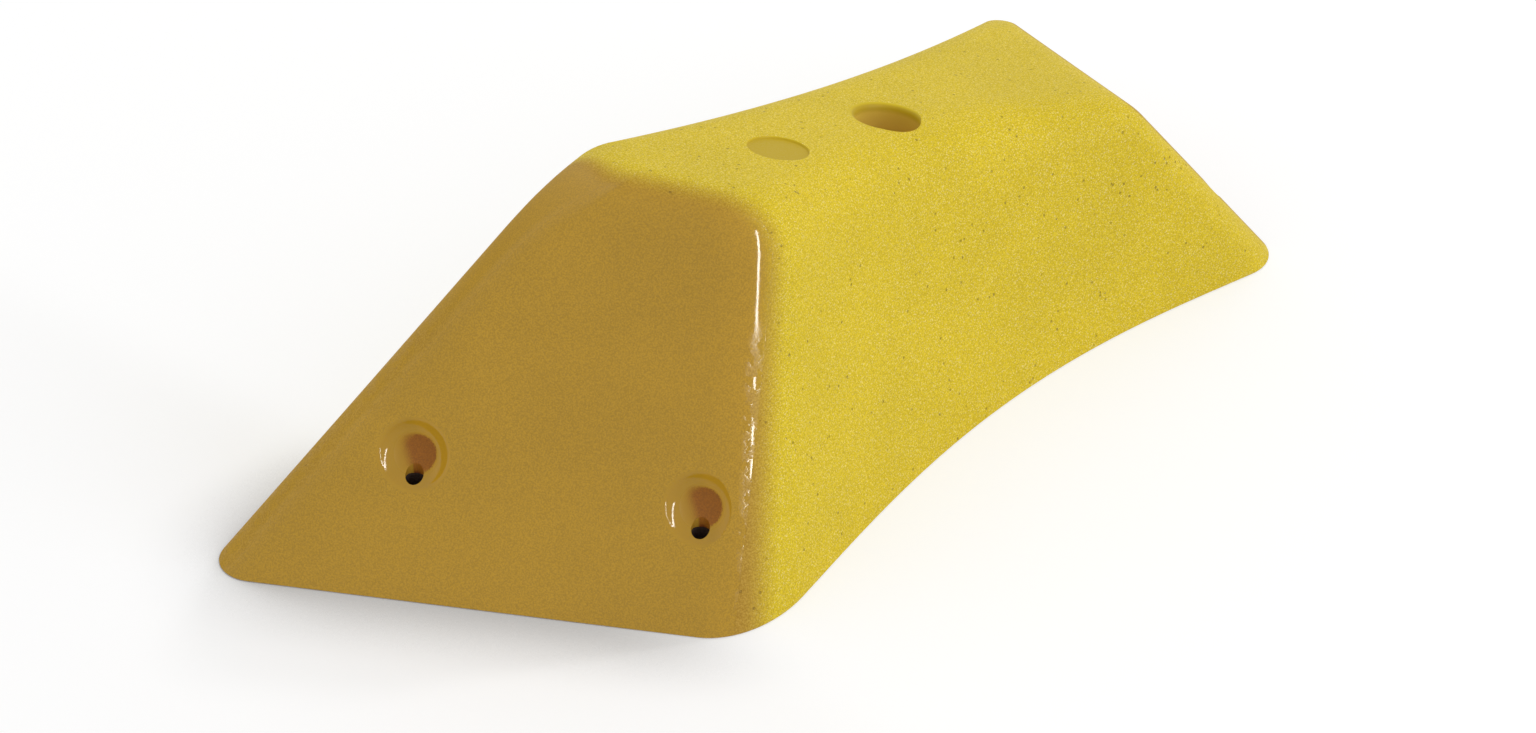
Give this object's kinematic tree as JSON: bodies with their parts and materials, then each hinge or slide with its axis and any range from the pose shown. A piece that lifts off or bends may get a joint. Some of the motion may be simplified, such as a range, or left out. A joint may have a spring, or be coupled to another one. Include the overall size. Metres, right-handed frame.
{
  "type": "climbing volume",
  "caption": "Long bent wedge-shaped climbing volume: a hollow moulded shell with a flat top, sloping end faces, a bolt well and screw pockets, bonded to a timber back frame.",
  "frame": {"origin": "in the wall plane, under the middle of the back outline's box", "axes": "+X along the volume from its high near end to its low far end, +Z out of the wall, -Y towards the hollowed inner side"},
  "size_m": [0.4954, 0.1936, 0.1441],
  "materials": {
    "gelcoat": "yellow gelcoat over glass laminate, gritty on the top and long sides, polished on the end faces",
    "plywood": "raw birch plywood",
    "washer_steel": "zinc-plated steel washer",
    "screw_steel": "yellow zinc-plated countersunk wood screws",
    "glass_tape": "cured glass-cloth tape in resin"
  },
  "bodies": {
    "root": {"shell": "gelcoat", "near_end_rail": "plywood", "inner_side_rail": "plywood", "far_end_rail": "plywood", "outer_side_rail": "plywood", "bolt_bridge": "plywood", "bolt_block": "plywood", "bolt_washer": "washer_steel", "screw_block_near_outer": "plywood", "screw_block_near_inner": "plywood", "screw_block_far_outer": "plywood", "screw_block_far_inner": "plywood", "lap_screw_near_outer": "screw_steel", "lap_screw_near_inner": "screw_steel", "lap_screw_far_inner": "screw_steel", "lap_screw_far_outer": "screw_steel", "bridge_screw_inner_near": "screw_steel", "bridge_screw_inner_far": "screw_steel", "bridge_screw_outer_near": "screw_steel", "bridge_screw_outer_far": "screw_steel", "tape_near_end": "glass_tape", "tape_far_end": "glass_tape", "tape_inner_near": "glass_tape", "tape_inner_far": "glass_tape", "tape_outer_far": "glass_tape", "tape_outer_near": "glass_tape"}
  },
  "joints": []
}
